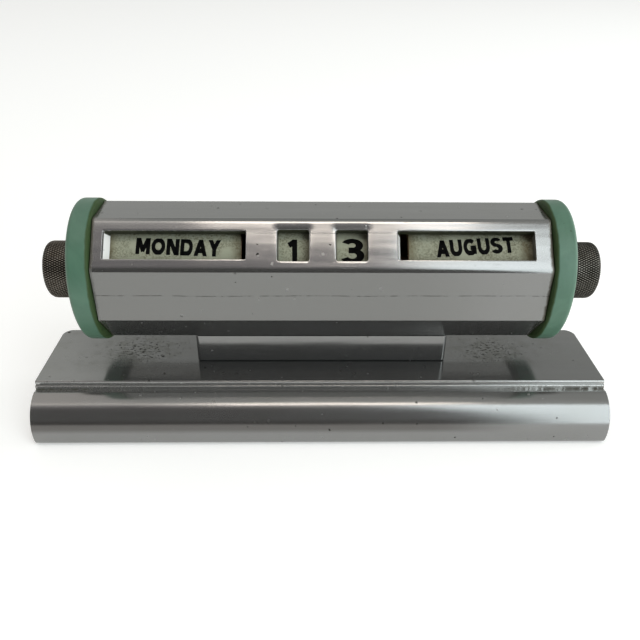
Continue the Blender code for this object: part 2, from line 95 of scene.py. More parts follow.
lightSet = {
    "strip": {"place": (0.045, -0.286, 1.00), "turn": (0, 0, 0), "size": (0.45, 0.12),
              "watts": 1.15, "tint": (1.0, 0.90, 0.82)},
    "stripEnd": {"place": (-0.465, -0.277, 1.00), "turn": (0, 0, 0), "size": (0.57, 0.12),
                 "watts": 0.22, "tint": (1.0, 0.92, 0.86)},
    "window": {"place": (1.06, -1.05, 1.45), "turn": (90, 0, 0), "size": (1.30, 2.88),
               "watts": 39.0, "tint": (0.88, 0.97, 1.0)},
    "side": {"place": (1.35, 0.15, 0.40), "turn": (0, 90, 0), "size": (0.75, 1.00),
             "watts": 5.5, "tint": (0.95, 0.98, 1.0)},
}


def addLights():
    for name, made in lightSet.items():
        data = bpy.data.lights.new(name, "AREA")
        data.shape = "RECTANGLE"
        data.size, data.size_y = made["size"]
        data.energy = made["watts"]
        data.color = made["tint"]
        lamp = bpy.data.objects.new(name, data)
        lamp.location = made["place"]
        lamp.rotation_euler = [math.radians(angle) for angle in made["turn"]]
        bpy.context.scene.collection.objects.link(lamp)


class Value:  # a socket's value, which can be added, multiplied and so on
    def __init__(self, tree, socket):
        self.tree, self.socket = tree, socket

    def node(self, kind, settings=None, inputs=None, output=0):
        made = self.tree.nodes.new("ShaderNode" + kind)
        for name, value in (settings or {}).items():
            setattr(made, name, value)
        for name, value in (inputs or {}).items():
            if isinstance(value, Value):
                self.tree.links.new(value.socket, made.inputs[name])
            else:
                made.inputs[name].default_value = value
        return Value(self.tree, made.outputs[output])

    def math(self, operation, first, second=0.0):
        return self.node("Math", {"operation": operation}, {0: first, 1: second})

    def __add__(self, other):
        return self.math("ADD", self, other)

    def __radd__(self, other):
        return self.math("ADD", other, self)

    def __sub__(self, other):
        return self.math("SUBTRACT", self, other)

    def __rsub__(self, other):
        return self.math("SUBTRACT", other, self)

    def __mul__(self, other):
        return self.math("MULTIPLY", self, other)

    def __rmul__(self, other):
        return self.math("MULTIPLY", other, self)

    def __abs__(self):
        return self.math("ABSOLUTE", self)

    def step(self, low, high, start=0.0, end=1.0):  # smooth change from start to end
        inputs = {"Value": self, "From Min": low, "From Max": high,
                  "To Min": start, "To Max": end}
        return self.node("MapRange", {"interpolation_type": "SMOOTHSTEP", "clamp": True}, inputs)

    def near(self, place, reach):  # 1 at place, 0 further off than reach
        return abs(self - place).step(0.0, reach, 1.0, 0.0)

    def mapped(self, scale, turn=(0, 0, 0), place=(0, 0, 0)):
        inputs = {"Vector": self, "Location": place, "Rotation": turn, "Scale": scale}
        return self.node("Mapping", {}, inputs)

    def noise(self, scale, detail=3.0, roughness=0.5, distortion=0.0):
        inputs = {"Vector": self, "Scale": scale, "Detail": detail, "Roughness": roughness,
                  "Distortion": distortion}
        return self.node("TexNoise", {}, inputs)

    def cells(self, scale, output="Distance"):
        return self.node("TexVoronoi", {}, {"Vector": self, "Scale": scale}, output)

    def part(self, name):  # X, Y or Z of a vector
        return self.node("SeparateXYZ", {}, {"Vector": self}, name)

    def blend(self, amount, colour):  # this colour, with another laid over it
        inputs = {0: amount, 6: self, 7: (*colour, 1.0) if isinstance(colour, tuple) else colour}
        return self.node("Mix", {"data_type": "RGBA"}, inputs, 2)

    def bump(self, strength, distance, normal=None):
        inputs = {"Height": self, "Strength": strength, "Distance": distance}
        if normal is not None:
            inputs["Normal"] = normal
        return self.node("Bump", {}, inputs, "Normal")


def newMaterial(name, **constants):  # returns the material, its shader and Object coordinates
    material = bpy.data.materials.new(name)
    material.use_nodes = True
    tree = material.node_tree
    shader = tree.nodes["Principled BSDF"]
    for socket, value in constants.items():
        shader.inputs[socket.replace("_", " ")].default_value = value
    coordinates = tree.nodes.new("ShaderNodeTexCoord")
    return material, shader, Value(tree, coordinates.outputs["Object"])


def plug(shader, **values):
    for name, value in values.items():
        value.tree.links.new(value.socket, shader.inputs[name.replace("_", " ")])


def flat(value, colour):  # a colour that others are laid over
    made = value.tree.nodes.new("ShaderNodeRGB")
    made.outputs[0].default_value = (*colour, 1.0)
    return Value(value.tree, made.outputs[0])


roomSet = {
    "walls": (0.60, 0.61, 0.59),
    "high": (0.44, 0.45, 0.44),
    "corner": (0.84, 0.85, 0.82),  # upper left, behind
    "turn": (0.47, 0.44, 0.46),  # between the walls and the dark front
    "left": (0.30, 0.27, 0.29),
    "front": (0.07, 0.062, 0.058),
    "overhead": (1.05, 0.98, 0.94),
    "low": (0.78, 0.78, 0.76),
}


def setWorld():
    world = bpy.data.worlds.new("room")
    world.use_nodes = True
    bpy.context.scene.world = world
    tree = world.node_tree
    coordinates = tree.nodes.new("ShaderNodeTexCoord")
    way = Value(tree, coordinates.outputs["Generated"])
    sideways, depth, height = (way.part(name) for name in "XYZ")
    front = depth.step(-0.50, -0.40, 1.0, 0.0)  # the reader's side of the room is dark
    turn = depth.step(-0.35, -0.28, 1.0, 0.0)
    leftward = sideways.step(0.05, -0.22)
    back = depth.step(0.30, 0.60)
    high = height.step(0.36, 0.56) * back * sideways.step(-0.30, -0.17)
    corner = height.step(0.36, 0.50) * back * sideways.step(-0.24, -0.33)
    overhead = height.step(0.72, 0.84) * depth.step(-0.30, -0.24) * sideways.step(-0.20, -0.33)
    low = height.step(-0.25, 0.02, 1.0, 0.0)
    colour = flat(way, roomSet["walls"])
    masks = {"high": high, "corner": corner, "turn": turn, "left": turn * leftward,
             "front": front, "overhead": overhead, "low": low}
    for name, mask in masks.items():
        colour = colour.blend(mask, roomSet[name])
    tree.links.new(colour.socket, tree.nodes["Background"].inputs["Color"])
    tree.nodes["Background"].inputs["Strength"].default_value = 1.0


floorSet = {"size": 14.0, "colour": (0.80, 0.80, 0.79), "glow": 0.47}


def addFloor():
    shape = bmesh.new()
    bmesh.ops.create_grid(shape, x_segments=1, y_segments=1, size=floorSet["size"] / 2)
    mesh = bpy.data.meshes.new("floor")
    shape.to_mesh(mesh)
    shape.free()
    floor = bpy.data.objects.new("floor", mesh)
    bpy.context.scene.collection.objects.link(floor)
    colour = (*floorSet["colour"], 1.0)
    material = newMaterial("paleFloor", Roughness=0.9, Specular_IOR_Level=0.1, Base_Color=colour,
                           Emission_Color=colour, Emission_Strength=floorSet["glow"])[0]
    mesh.materials.append(material)


bpy.context.scene.view_settings.view_transform = "Standard"
addCamera()
addLights()
setWorld()
addFloor()
print("camera, lights and floor set")


# shaping that every piece shares
def finishPiece(shape, name, body, material, stands=(), weighted=True, sharp=40):
    mesh = bpy.data.meshes.new(name)
    shape.to_mesh(mesh)
    shape.free()
    mesh.materials.append(material)
    mesh.shade_smooth()
    mesh.set_sharp_from_angle(angle=math.radians(sharp))
    piece = bpy.data.objects.new(name, mesh)
    bpy.context.scene.collection.objects.link(piece)
    if weighted:
        normals = piece.modifiers.new("normals", "WEIGHTED_NORMAL")
        normals.keep_sharp = True
        normals.weight = 60
    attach(piece, body)
    if stands:
        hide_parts(*stands)
    return piece


def roundEdges(shape, edges, radius, segments):
    bmesh.ops.bevel(shape, geom=edges, offset=radius, offset_type="OFFSET", affect="EDGES",
                    segments=segments, profile=0.5, material=-1, clamp_overlap=True)


def lathe(profile, steps):  # profile: (along X, radius, rounding) of each corner, closed
    shape = bmesh.new()
    corners = [shape.verts.new((along, 0, radius)) for along, radius, _ in profile]
    for one, other in zip(corners, corners[1:] + corners[:1]):
        shape.edges.new((one, other))
    for corner, (_, _, rounding) in zip(corners, profile):
        if rounding:
            bmesh.ops.bevel(shape, geom=[corner], offset=rounding, affect="VERTICES", segments=6,
                            profile=0.5, material=-1)
    bmesh.ops.spin(shape, geom=shape.verts[:] + shape.edges[:], cent=(0, 0, 0), axis=(1, 0, 0),
                   dvec=(0, 0, 0), angle=2 * math.pi, steps=steps, use_merge=True)
    bmesh.ops.remove_doubles(shape, verts=shape.verts, dist=1e-7)
    bmesh.ops.recalc_face_normals(shape, faces=shape.faces)
    bmesh.ops.translate(shape, verts=shape.verts, vec=axis)
    return shape


tubeSet = {
    "wall": 2.3 * mm,
    "cornerRounding": 0.85 * mm,
    "windowSideRounding": 1.7 * mm,  # the two corners beside the window side
    "dimple": 0.10 * mm,  # how deep the metal is pressed in around a date window
    "dimpleReach": 1.7 * mm,
    "column": 1.5 * mm,  # spacing of the finer mesh on the window side
    "row": 0.7 * mm,
}
tiny = 0.01 * mm  # how far off a vertex may be and still count as on a line
eighth = math.tan(math.pi / 8)  # half a corner of the tube
windows = {  # middle along X, width, height, corner rounding, lip rounding, slant of the left wall
    "weekday": (-39.45 * mm, 37.8 * mm, 8.05 * mm, 0.35 * mm, 0.40 * mm, 1.5 * mm),
    "tens": (-8.05 * mm, 8.5 * mm, 8.9 * mm, 0.60 * mm, 0.80 * mm, 0.3 * mm),
    "units": (7.6 * mm, 8.5 * mm, 8.8 * mm, 0.60 * mm, 0.80 * mm, 0.3 * mm),
    "month": (38.2 * mm, 36.9 * mm, 8.25 * mm, 0.35 * mm, 0.40 * mm, 0.9 * mm),
}


def onWindowSide(face):
    return face.normal.z > 0.999 and face.calc_center_median().z > facetReach - 0.1 * mm


def windowSide(shape, low=-math.inf, high=math.inf):
    return [face for face in shape.faces
            if onWindowSide(face) and low < face.calc_center_median().x < high]


def cut(shape, faces, place, normal):
    around = set(faces)
    for face in faces:
        around.update(face.edges)
        around.update(face.verts)
    bmesh.ops.bisect_plane(shape, geom=list(around), dist=1e-7, plane_co=place, plane_no=normal)


def windowSize(name):  # a window's opening, the lip left out
    middle, width, height = windows[name][:3]
    return middle - width / 2, middle + width / 2, height / 2


def makeTube():
    half = (tubeHigh.x - tubeLow.x) / 2
    shape = bmesh.new()
    bmesh.ops.create_circle(shape, segments=8, radius=facetReach / math.cos(math.pi / 8))
    bmesh.ops.rotate(shape, verts=shape.verts, matrix=Matrix.Rotation(math.pi / 8, 3, "Z"))
    bmesh.ops.rotate(shape, verts=shape.verts, matrix=Matrix.Rotation(math.pi / 2, 3, "Y"))
    bmesh.ops.translate(shape, verts=shape.verts, vec=(-half, 0, 0))
    drawn = bmesh.ops.extrude_edge_only(shape, edges=shape.edges[:])["geom"]
    moved = [item for item in drawn if isinstance(item, bmesh.types.BMVert)]
    bmesh.ops.translate(shape, verts=moved, vec=(2 * half, 0, 0))
    bmesh.ops.recalc_face_normals(shape, faces=shape.faces)
    if shape.faces[0].normal.dot(shape.faces[0].calc_center_median()) < 0:
        bmesh.ops.reverse_faces(shape, faces=shape.faces)
    shape.normal_update()
    inner = [edge for edge in shape.edges if len(edge.link_faces) == 2]
    broad = [edge for edge in inner if edge.verts[0].co.z > facetReach - 0.1 * mm]
    narrow = [edge for edge in inner if edge not in broad]
    roundEdges(shape, narrow, tubeSet["cornerRounding"] * eighth, 6)
    roundEdges(shape, broad, tubeSet["windowSideRounding"] * eighth, 10)
    shape.normal_update()
    for name in windows:
        low, high, tall = windowSize(name)
        for along in (low, high):
            cut(shape, windowSide(shape), (along, 0, 0), (1, 0, 0))
        for across in (-tall, tall):
            cut(shape, windowSide(shape, low, high), (0, across, 0), (0, 1, 0))
        holes = [face for face in windowSide(shape, low, high)
                 if abs(face.calc_center_median().y) < tall]
        bmesh.ops.delete(shape, geom=holes, context="FACES_ONLY")
    loose = [edge for edge in shape.edges if not edge.link_faces]
    bmesh.ops.delete(shape, geom=loose, context="EDGES")
    bmesh.ops.solidify(shape, geom=shape.faces[:], thickness=tubeSet["wall"])
    shape.normal_update()
    for name, (*_, corner, _, slant) in windows.items():
        low, high, tall = windowSize(name)
        uprights = []
        for edge in shape.edges:
            one, other = (vert.co for vert in edge.verts)
            at = (one + other) / 2
            beside = min(abs(at.x - low), abs(at.x - high)) < tiny
            upright = (one - other).xy.length < 1e-6 and at.z > 0
            if upright and beside and abs(abs(at.y) - tall) < tiny:
                uprights.append(edge)
        roundEdges(shape, uprights, corner, 5)
        for vert in shape.verts:  # the left wall leans inwards, and catches the light
            inHole = low - tiny < vert.co.x < low + corner + tiny and abs(vert.co.y) < tall + tiny
            if inHole and 0 < vert.co.z < facetReach - mm:
                vert.co.x += slant
    for name, (*_, lip, _) in windows.items():
        low, high, tall = windowSize(name)
        rim = []
        for edge in shape.edges:
            at = (edge.verts[0].co + edge.verts[1].co) / 2
            outside = [face for face in edge.link_faces if onWindowSide(face)]
            if len(outside) == 1 and low - tiny < at.x < high + tiny and abs(at.y) < tall + tiny:
                rim.append(edge)
        roundEdges(shape, rim, lip, 5)
    shape.normal_update()
    refineWindowSide(shape, half)
    bmesh.ops.remove_doubles(shape, verts=shape.verts, dist=1e-6)
    bmesh.ops.rotate(shape, verts=shape.verts, matrix=Matrix.Rotation(upperFacet, 3, "X"))
    bmesh.ops.translate(shape, verts=shape.verts, vec=axis)
    return shape


def refineWindowSide(shape, half):  # finer mesh there, then the dimples of the date windows
    across = -facetReach * eighth
    while across < facetReach * eighth:
        cut(shape, windowSide(shape), (0, across, 0), (0, 1, 0))
        across += tubeSet["row"]
    along = -half + tubeSet["column"]
    while along < half:
        near = min(abs(along - windows[name][0]) for name in ("tens", "units"))
        cut(shape, windowSide(shape), (along, 0, 0), (1, 0, 0))
        along += tubeSet["column"] * (0.45 if near < 9 * mm else 2)
    edge = facetReach * eighth - tubeSet["windowSideRounding"] * eighth
    for vert in shape.verts:
        out = abs(vert.co.y)
        if vert.co.z < facetReach - 1.3 * mm or out > edge:
            continue
        drop = 0
        for name in ("tens", "units"):
            low, high, tall = windowSize(name)
            aside = max(0, low - vert.co.x, vert.co.x - high)
            above = max(0, vert.co.y - tall)
            away = math.hypot(aside * 1.6, above)
            share = max(0, 1 - away / tubeSet["dimpleReach"])
            side = min(1, max(0, (vert.co.y + tall) / (2 * tall)))  # deepest above the window
            drop += tubeSet["dimple"] * share * share * (3 - 2 * share) * side
        vert.co.z -= drop * min(1, (edge - out) / (0.4 * mm))


baseLow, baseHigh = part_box("base")
baseSet = {
    "height": baseHigh.z,
    "plate": 3.0 * mm,
    "rearWall": 3.0 * mm,
    "rearCorner": 3.5 * mm,
    "roll": 9.2 * mm,  # radius of the front roll
    "rollDrop": 2.1 * mm,
    "rollWall": 2.6 * mm,
    "grooveDepth": 0.3 * mm,
    "foot": 2.5 * mm,
    "tread": 0.6 * mm,
    "rise": 1.2 * mm,
    "edge": 0.25 * mm,
    "lip": 0.42 * mm,
    "rim": 0.18 * mm,  # along the sawn ends
}


def arcOf(shape, centre, radius, start, end, steps):  # a row of vertices along an arc, in degrees
    first = shape.verts.new((0, centre[0] + radius * math.cos(math.radians(start)),
                             centre[1] + radius * math.sin(math.radians(start))))
    bmesh.ops.spin(shape, geom=[first], cent=(0, *centre), axis=(1, 0, 0), dvec=(0, 0, 0),
                   angle=math.radians(end - start), steps=steps, use_merge=False)
    shape.verts.ensure_lookup_table()
    return shape.verts[-steps - 1:]


def makeBase():
    size = baseSet
    shape = bmesh.new()
    rearY = baseHigh.y
    roll = (baseLow.y + size["roll"], size["height"] - size["rollDrop"] - size["roll"])
    dip = math.asin((roll[1] - size["foot"]) / (size["roll"] - size["foot"]))
    meeting = 180 + math.degrees(dip)
    foot = (roll[0] - (size["roll"] - size["foot"]) * math.cos(dip), size["foot"])
    inner = size["roll"] - size["rollWall"]
    innerFloor = math.degrees(math.asin(-roll[1] / inner))
    under = size["height"] - size["plate"]
    tread = roll[0] + size["tread"] / 2
    plateEnd = tread + size["tread"]
    step = size["height"] - size["rise"]
    groove = size["height"] - size["rollDrop"] - size["grooveDepth"]
    chain = [shape.verts.new((0, *point)) for point in (
        (rearY, 0), (rearY, size["height"]), (plateEnd, size["height"]), (plateEnd, step),
        (tread, step), (tread, groove), (roll[0] - size["tread"], groove))]
    chain += arcOf(shape, roll, size["roll"], 98, meeting, 40)
    chain += arcOf(shape, foot, size["foot"], meeting, 270, 12)[1:]
    chain += arcOf(shape, roll, inner, 180 - innerFloor, 90, 24)
    chain += [shape.verts.new((0, *point)) for point in (
        (roll[0] + size["rollWall"], under), (rearY - size["rearWall"], under),
        (rearY - size["rearWall"], 0))]
    section = shape.faces.new(chain)
    loose = [vert for vert in shape.verts if not vert.link_faces]
    bmesh.ops.delete(shape, geom=loose, context="VERTS")
    loose = [edge for edge in shape.edges if not edge.link_faces]
    bmesh.ops.delete(shape, geom=loose, context="EDGES")
    drawn = bmesh.ops.extrude_face_region(shape, geom=[section])["geom"]
    half = baseHigh.x
    bmesh.ops.translate(shape, verts=shape.verts, vec=(-half, 0, 0))
    moved = [item for item in drawn if isinstance(item, bmesh.types.BMVert)]
    bmesh.ops.translate(shape, verts=moved, vec=(2 * half, 0, 0))
    bmesh.ops.recalc_face_normals(shape, faces=shape.faces)
    lips, treads = [], []
    for edge in shape.edges:
        one, other = (vert.co for vert in edge.verts)
        if abs(one.x - other.x) < half:
            continue
        spot = (one.y, one.z)
        if math.dist(spot, (plateEnd, size["height"])) < tiny:
            lips.append(edge)
        elif min(math.dist(spot, (tread, step)), math.dist(spot, (rearY, size["height"]))) < tiny:
            treads.append(edge)
    roundEdges(shape, lips, size["lip"], 4)
    roundEdges(shape, treads, size["edge"], 3)
    cutRearCorners(shape, half, rearY)
    rims = [edge for edge in shape.edges
            if edge.is_manifold and edge.calc_face_angle(0) > math.radians(60)
            and all(abs(abs(vert.co.x) - half) < 1e-6 for vert in edge.verts)]
    roundEdges(shape, rims, size["rim"], 2)
    return shape


def cutRearCorners(shape, half, rearY):
    corner, steps = baseSet["rearCorner"], 9
    for side in (-1, 1):
        centre = Vector((side * (half - corner), rearY - corner, 0))
        for i in range(steps):
            angle = math.radians(90 * (i + 0.5) / steps)
            way = Vector((side * math.cos(angle), math.sin(angle), 0))
            reach = corner * math.cos(math.radians(45 / steps))
            whole = shape.verts[:] + shape.edges[:] + shape.faces[:]
            met = bmesh.ops.bisect_plane(shape, geom=whole, dist=1e-7, plane_no=way,
                                         plane_co=centre + way * reach, clear_outer=True)["geom_cut"]
            rim = [item for item in met
                   if isinstance(item, bmesh.types.BMEdge) and item.is_boundary]
            bmesh.ops.edgenet_fill(shape, edges=rim)
    bmesh.ops.recalc_face_normals(shape, faces=shape.faces)


pedestalSet = {"corner": 1.0 * mm, "edge": 0.16 * mm}


def makePedestal():
    low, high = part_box("pedestal")
    shape = bmesh.new()
    bmesh.ops.create_cube(shape, size=1)
    bmesh.ops.scale(shape, vec=high - low, verts=shape.verts)
    bmesh.ops.translate(shape, vec=(low + high) / 2, verts=shape.verts)
    uprights = [edge for edge in shape.edges if abs(edge.verts[0].co.z - edge.verts[1].co.z) > mm]
    roundEdges(shape, uprights, pedestalSet["corner"], 6)
    rims = [edge for edge in shape.edges if edge.calc_face_angle(0) > 1]
    roundEdges(shape, rims, pedestalSet["edge"], 2)
    return shape


capSet = {
    "outerRounding": 1.5 * mm,
    "innerRounding": 0.9 * mm,
    "gap": 0.3 * mm,  # to the tube's end
    "spigotWall": 2.8 * mm,
    "dish": 0.5 * mm,
    "dishRadius": 9.6 * mm,
    "dishRim": 10.6 * mm,
    "hole": 3.25 * mm,
    "steps": 160,
}


def makeCap(side):
    sign = sides[side]
    low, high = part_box(f"end_cap_{side}")
    outer = max(abs(low.x), abs(high.x))
    spigotEnd = min(abs(low.x), abs(high.x))
    inner = tubeHigh.x + capSet["gap"]
    radius = (high.z - low.z) / 2
    spigot = facetReach - tubeSet["wall"] - 0.4 * mm
    bore = spigot - capSet["spigotWall"]
    floor = outer - capSet["dish"]
    profile = [
        (outer, radius, capSet["outerRounding"]), (inner, radius, capSet["innerRounding"]),
        (inner, spigot, 0), (spigotEnd, spigot, 0), (spigotEnd, bore, 0), (inner, bore, 0),
        (inner, capSet["hole"], 0), (floor, capSet["hole"], 0.1 * mm),
        (floor, capSet["dishRadius"], 0), (outer, capSet["dishRim"], 0.4 * mm)]
    profile = [(sign * along, out, rounding) for along, out, rounding in profile]
    return lathe(profile, capSet["steps"])


knobSet = {
    "edge": 1.9 * mm,
    "starts": 75,  # grooves round the knob, each way
    "depth": 0.20 * mm,
    "diamond": 1.35 * mm,  # length of one along X
    "plain": 0.5 * mm,  # smooth ring at the inner end
    "plainReach": 5.6 * mm,  # the end face is smooth out to here
    "bore": 2.1 * mm,
    "boreDepth": 7.8 * mm,
    "dish": 0.35 * mm,
    "dishRadius": 4.6 * mm,
    "dishRim": 5.2 * mm,
    "steps": 300,
}


def makeKnob(side):
    sign = sides[side]
    low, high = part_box(f"knob_{side}")
    inner, outer = sorted((abs(low.x), abs(high.x)))
    radius = (high.z - low.z) / 2
    bore, boreEnd, core = knobSet["bore"], inner + knobSet["boreDepth"], 0.02 * mm
    face = outer - knobSet["dish"]
    profile = [(sign * along, out, rounding) for along, out, rounding in (
        (outer, radius, knobSet["edge"]), (inner, radius, 0.25 * mm), (inner, bore, 0),
        (boreEnd, bore, 0), (boreEnd, core, 0), (face, core, 0),
        (face, knobSet["dishRadius"], 0.1 * mm), (outer, knobSet["dishRim"], 0.2 * mm))]
    shape = bmesh.new()
    corners = [shape.verts.new((along, 0, out)) for along, out, _ in profile]
    for one, other in zip(corners, corners[1:] + corners[:1]):
        shape.edges.new((one, other))
    for corner, (_, _, rounding) in zip(corners, profile):
        if rounding:
            bmesh.ops.bevel(shape, geom=[corner], offset=rounding, affect="VERTICES", segments=12,
                            profile=0.5, material=-1)
    outside = [edge for edge in shape.edges if min(vert.co.z for vert in edge.verts) > 7 * mm]
    long = max(outside, key=lambda edge: edge.calc_length())
    bmesh.ops.subdivide_edges(shape, edges=[long], cuts=56)
    bmesh.ops.spin(shape, geom=shape.verts[:] + shape.edges[:], cent=(0, 0, 0), axis=(1, 0, 0),
                   dvec=(0, 0, 0), angle=2 * math.pi, steps=knobSet["steps"], use_merge=True)
    bmesh.ops.remove_doubles(shape, verts=shape.verts, dist=1e-7)
    bmesh.ops.recalc_face_normals(shape, faces=shape.faces)
    for vert in shape.verts:  # crossed grooves leave rows of diamonds
        reach = math.hypot(vert.co.y, vert.co.z)
        if reach < knobSet["plainReach"]:
            continue
        angle = math.atan2(vert.co.z, vert.co.y)
        along = abs(vert.co.x) - inner
        turn = knobSet["starts"] * angle
        slant = 2 * math.pi * along / knobSet["diamond"]
        grooves = [abs((phase / math.pi) % 2 - 1) for phase in (turn + slant, turn - slant)]
        height = min(grooves[0], grooves[1]) * 1.6
        fade = min(1, max(0, (along - knobSet["plain"] * 0.2) / knobSet["plain"]))
        fade *= min(1, max(0, (reach - knobSet["plainReach"]) / mm))
        cutIn = knobSet["depth"] * (1 - min(1, height)) * fade
        scale = (reach - cutIn) / reach
        vert.co.y *= scale
        vert.co.z *= scale
    bmesh.ops.translate(shape, verts=shape.verts, vec=axis)
    return shape


springSet = {"wire": 0.3 * mm, "turns": 5, "radius": 3.0 * mm, "steps": 36}


def makeSpring(side):
    low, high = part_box(f"return_spring_{side}")
    shape = bmesh.new()
    bmesh.ops.create_circle(shape, segments=10, radius=springSet["wire"], cap_ends=True)
    bmesh.ops.translate(shape, verts=shape.verts, vec=(springSet["radius"], 0, 0))
    bmesh.ops.rotate(shape, verts=shape.verts, matrix=Matrix.Rotation(math.pi / 2, 3, "X"))
    length = high.x - low.x - 2 * springSet["wire"]
    steps = springSet["turns"] * springSet["steps"]
    bmesh.ops.spin(shape, geom=shape.faces[:], cent=(0, 0, 0), axis=(0, 0, 1),
                   dvec=(0, 0, length / steps), angle=2 * math.pi * springSet["turns"], steps=steps,
                   use_merge=False)
    bmesh.ops.recalc_face_normals(shape, faces=shape.faces)
    bmesh.ops.rotate(shape, verts=shape.verts, matrix=Matrix.Rotation(math.pi / 2, 3, "Y"))
    bmesh.ops.translate(shape, verts=shape.verts, vec=(low.x + springSet["wire"], axis.y, axis.z))
    return shape


# paper bands of the drums, and the print on them
printSet = {
    "height": 0.02 * mm,  # how proud the ink stands
    "bold": 0.28,  # thickness of a stroke, as a share of the letter height
    "boldDigit": 0.22,
    "gap": 0.14,
    "slice": 0.5 * mm,
    "oneWide": 2.4 * mm,  # the digit 1
    "digitWide": 6.3 * mm,
    "band": 0.4 * mm,  # thickness of the paper
}
drums = {  # words in order round the drum, width of the first, turn and tilt (degrees) at rest
    "weekday": {"words": ("MONDAY", "TUESDAY", "WEDNESDAY", "THURSDAY", "FRIDAY", "SATURDAY",
                          "SUNDAY"),
                "tall": 4.75 * mm, "wide": 22.4 * mm, "middle": -38.85 * mm,
                "turn": 2.5, "tilt": -1.8},
    "tens": {"words": ("1", "2", "3", "0", "1", "2", "3", "0"),
             "tall": 7.5 * mm, "wide": 2.4 * mm, "middle": -8.2 * mm, "turn": -3.1, "tilt": 0.0},
    "units": {"words": ("3", "4", "5", "6", "7", "8", "9", "0", "1", "2"),
              "tall": 7.5 * mm, "wide": 6.3 * mm, "middle": 7.95 * mm, "turn": -1.2, "tilt": 0.0},
    "month": {"words": ("AUGUST", "SEPTEMBER", "OCTOBER", "NOVEMBER", "DECEMBER", "JANUARY",
                        "FEBRUARY", "MARCH", "APRIL", "MAY", "JUNE", "JULY"),
              "tall": 4.85 * mm, "wide": 21.0 * mm, "middle": 41.2 * mm, "turn": 3.9, "tilt": 3.7},
}


def makeBand(name):
    low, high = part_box(f"{name}_label")
    outer = (high.z - low.z) / 2
    inner = outer - printSet["band"]
    profile = [(high.x, outer, 0), (low.x, outer, 0), (low.x, inner, 0), (high.x, inner, 0)]
    return lathe(profile, 144)


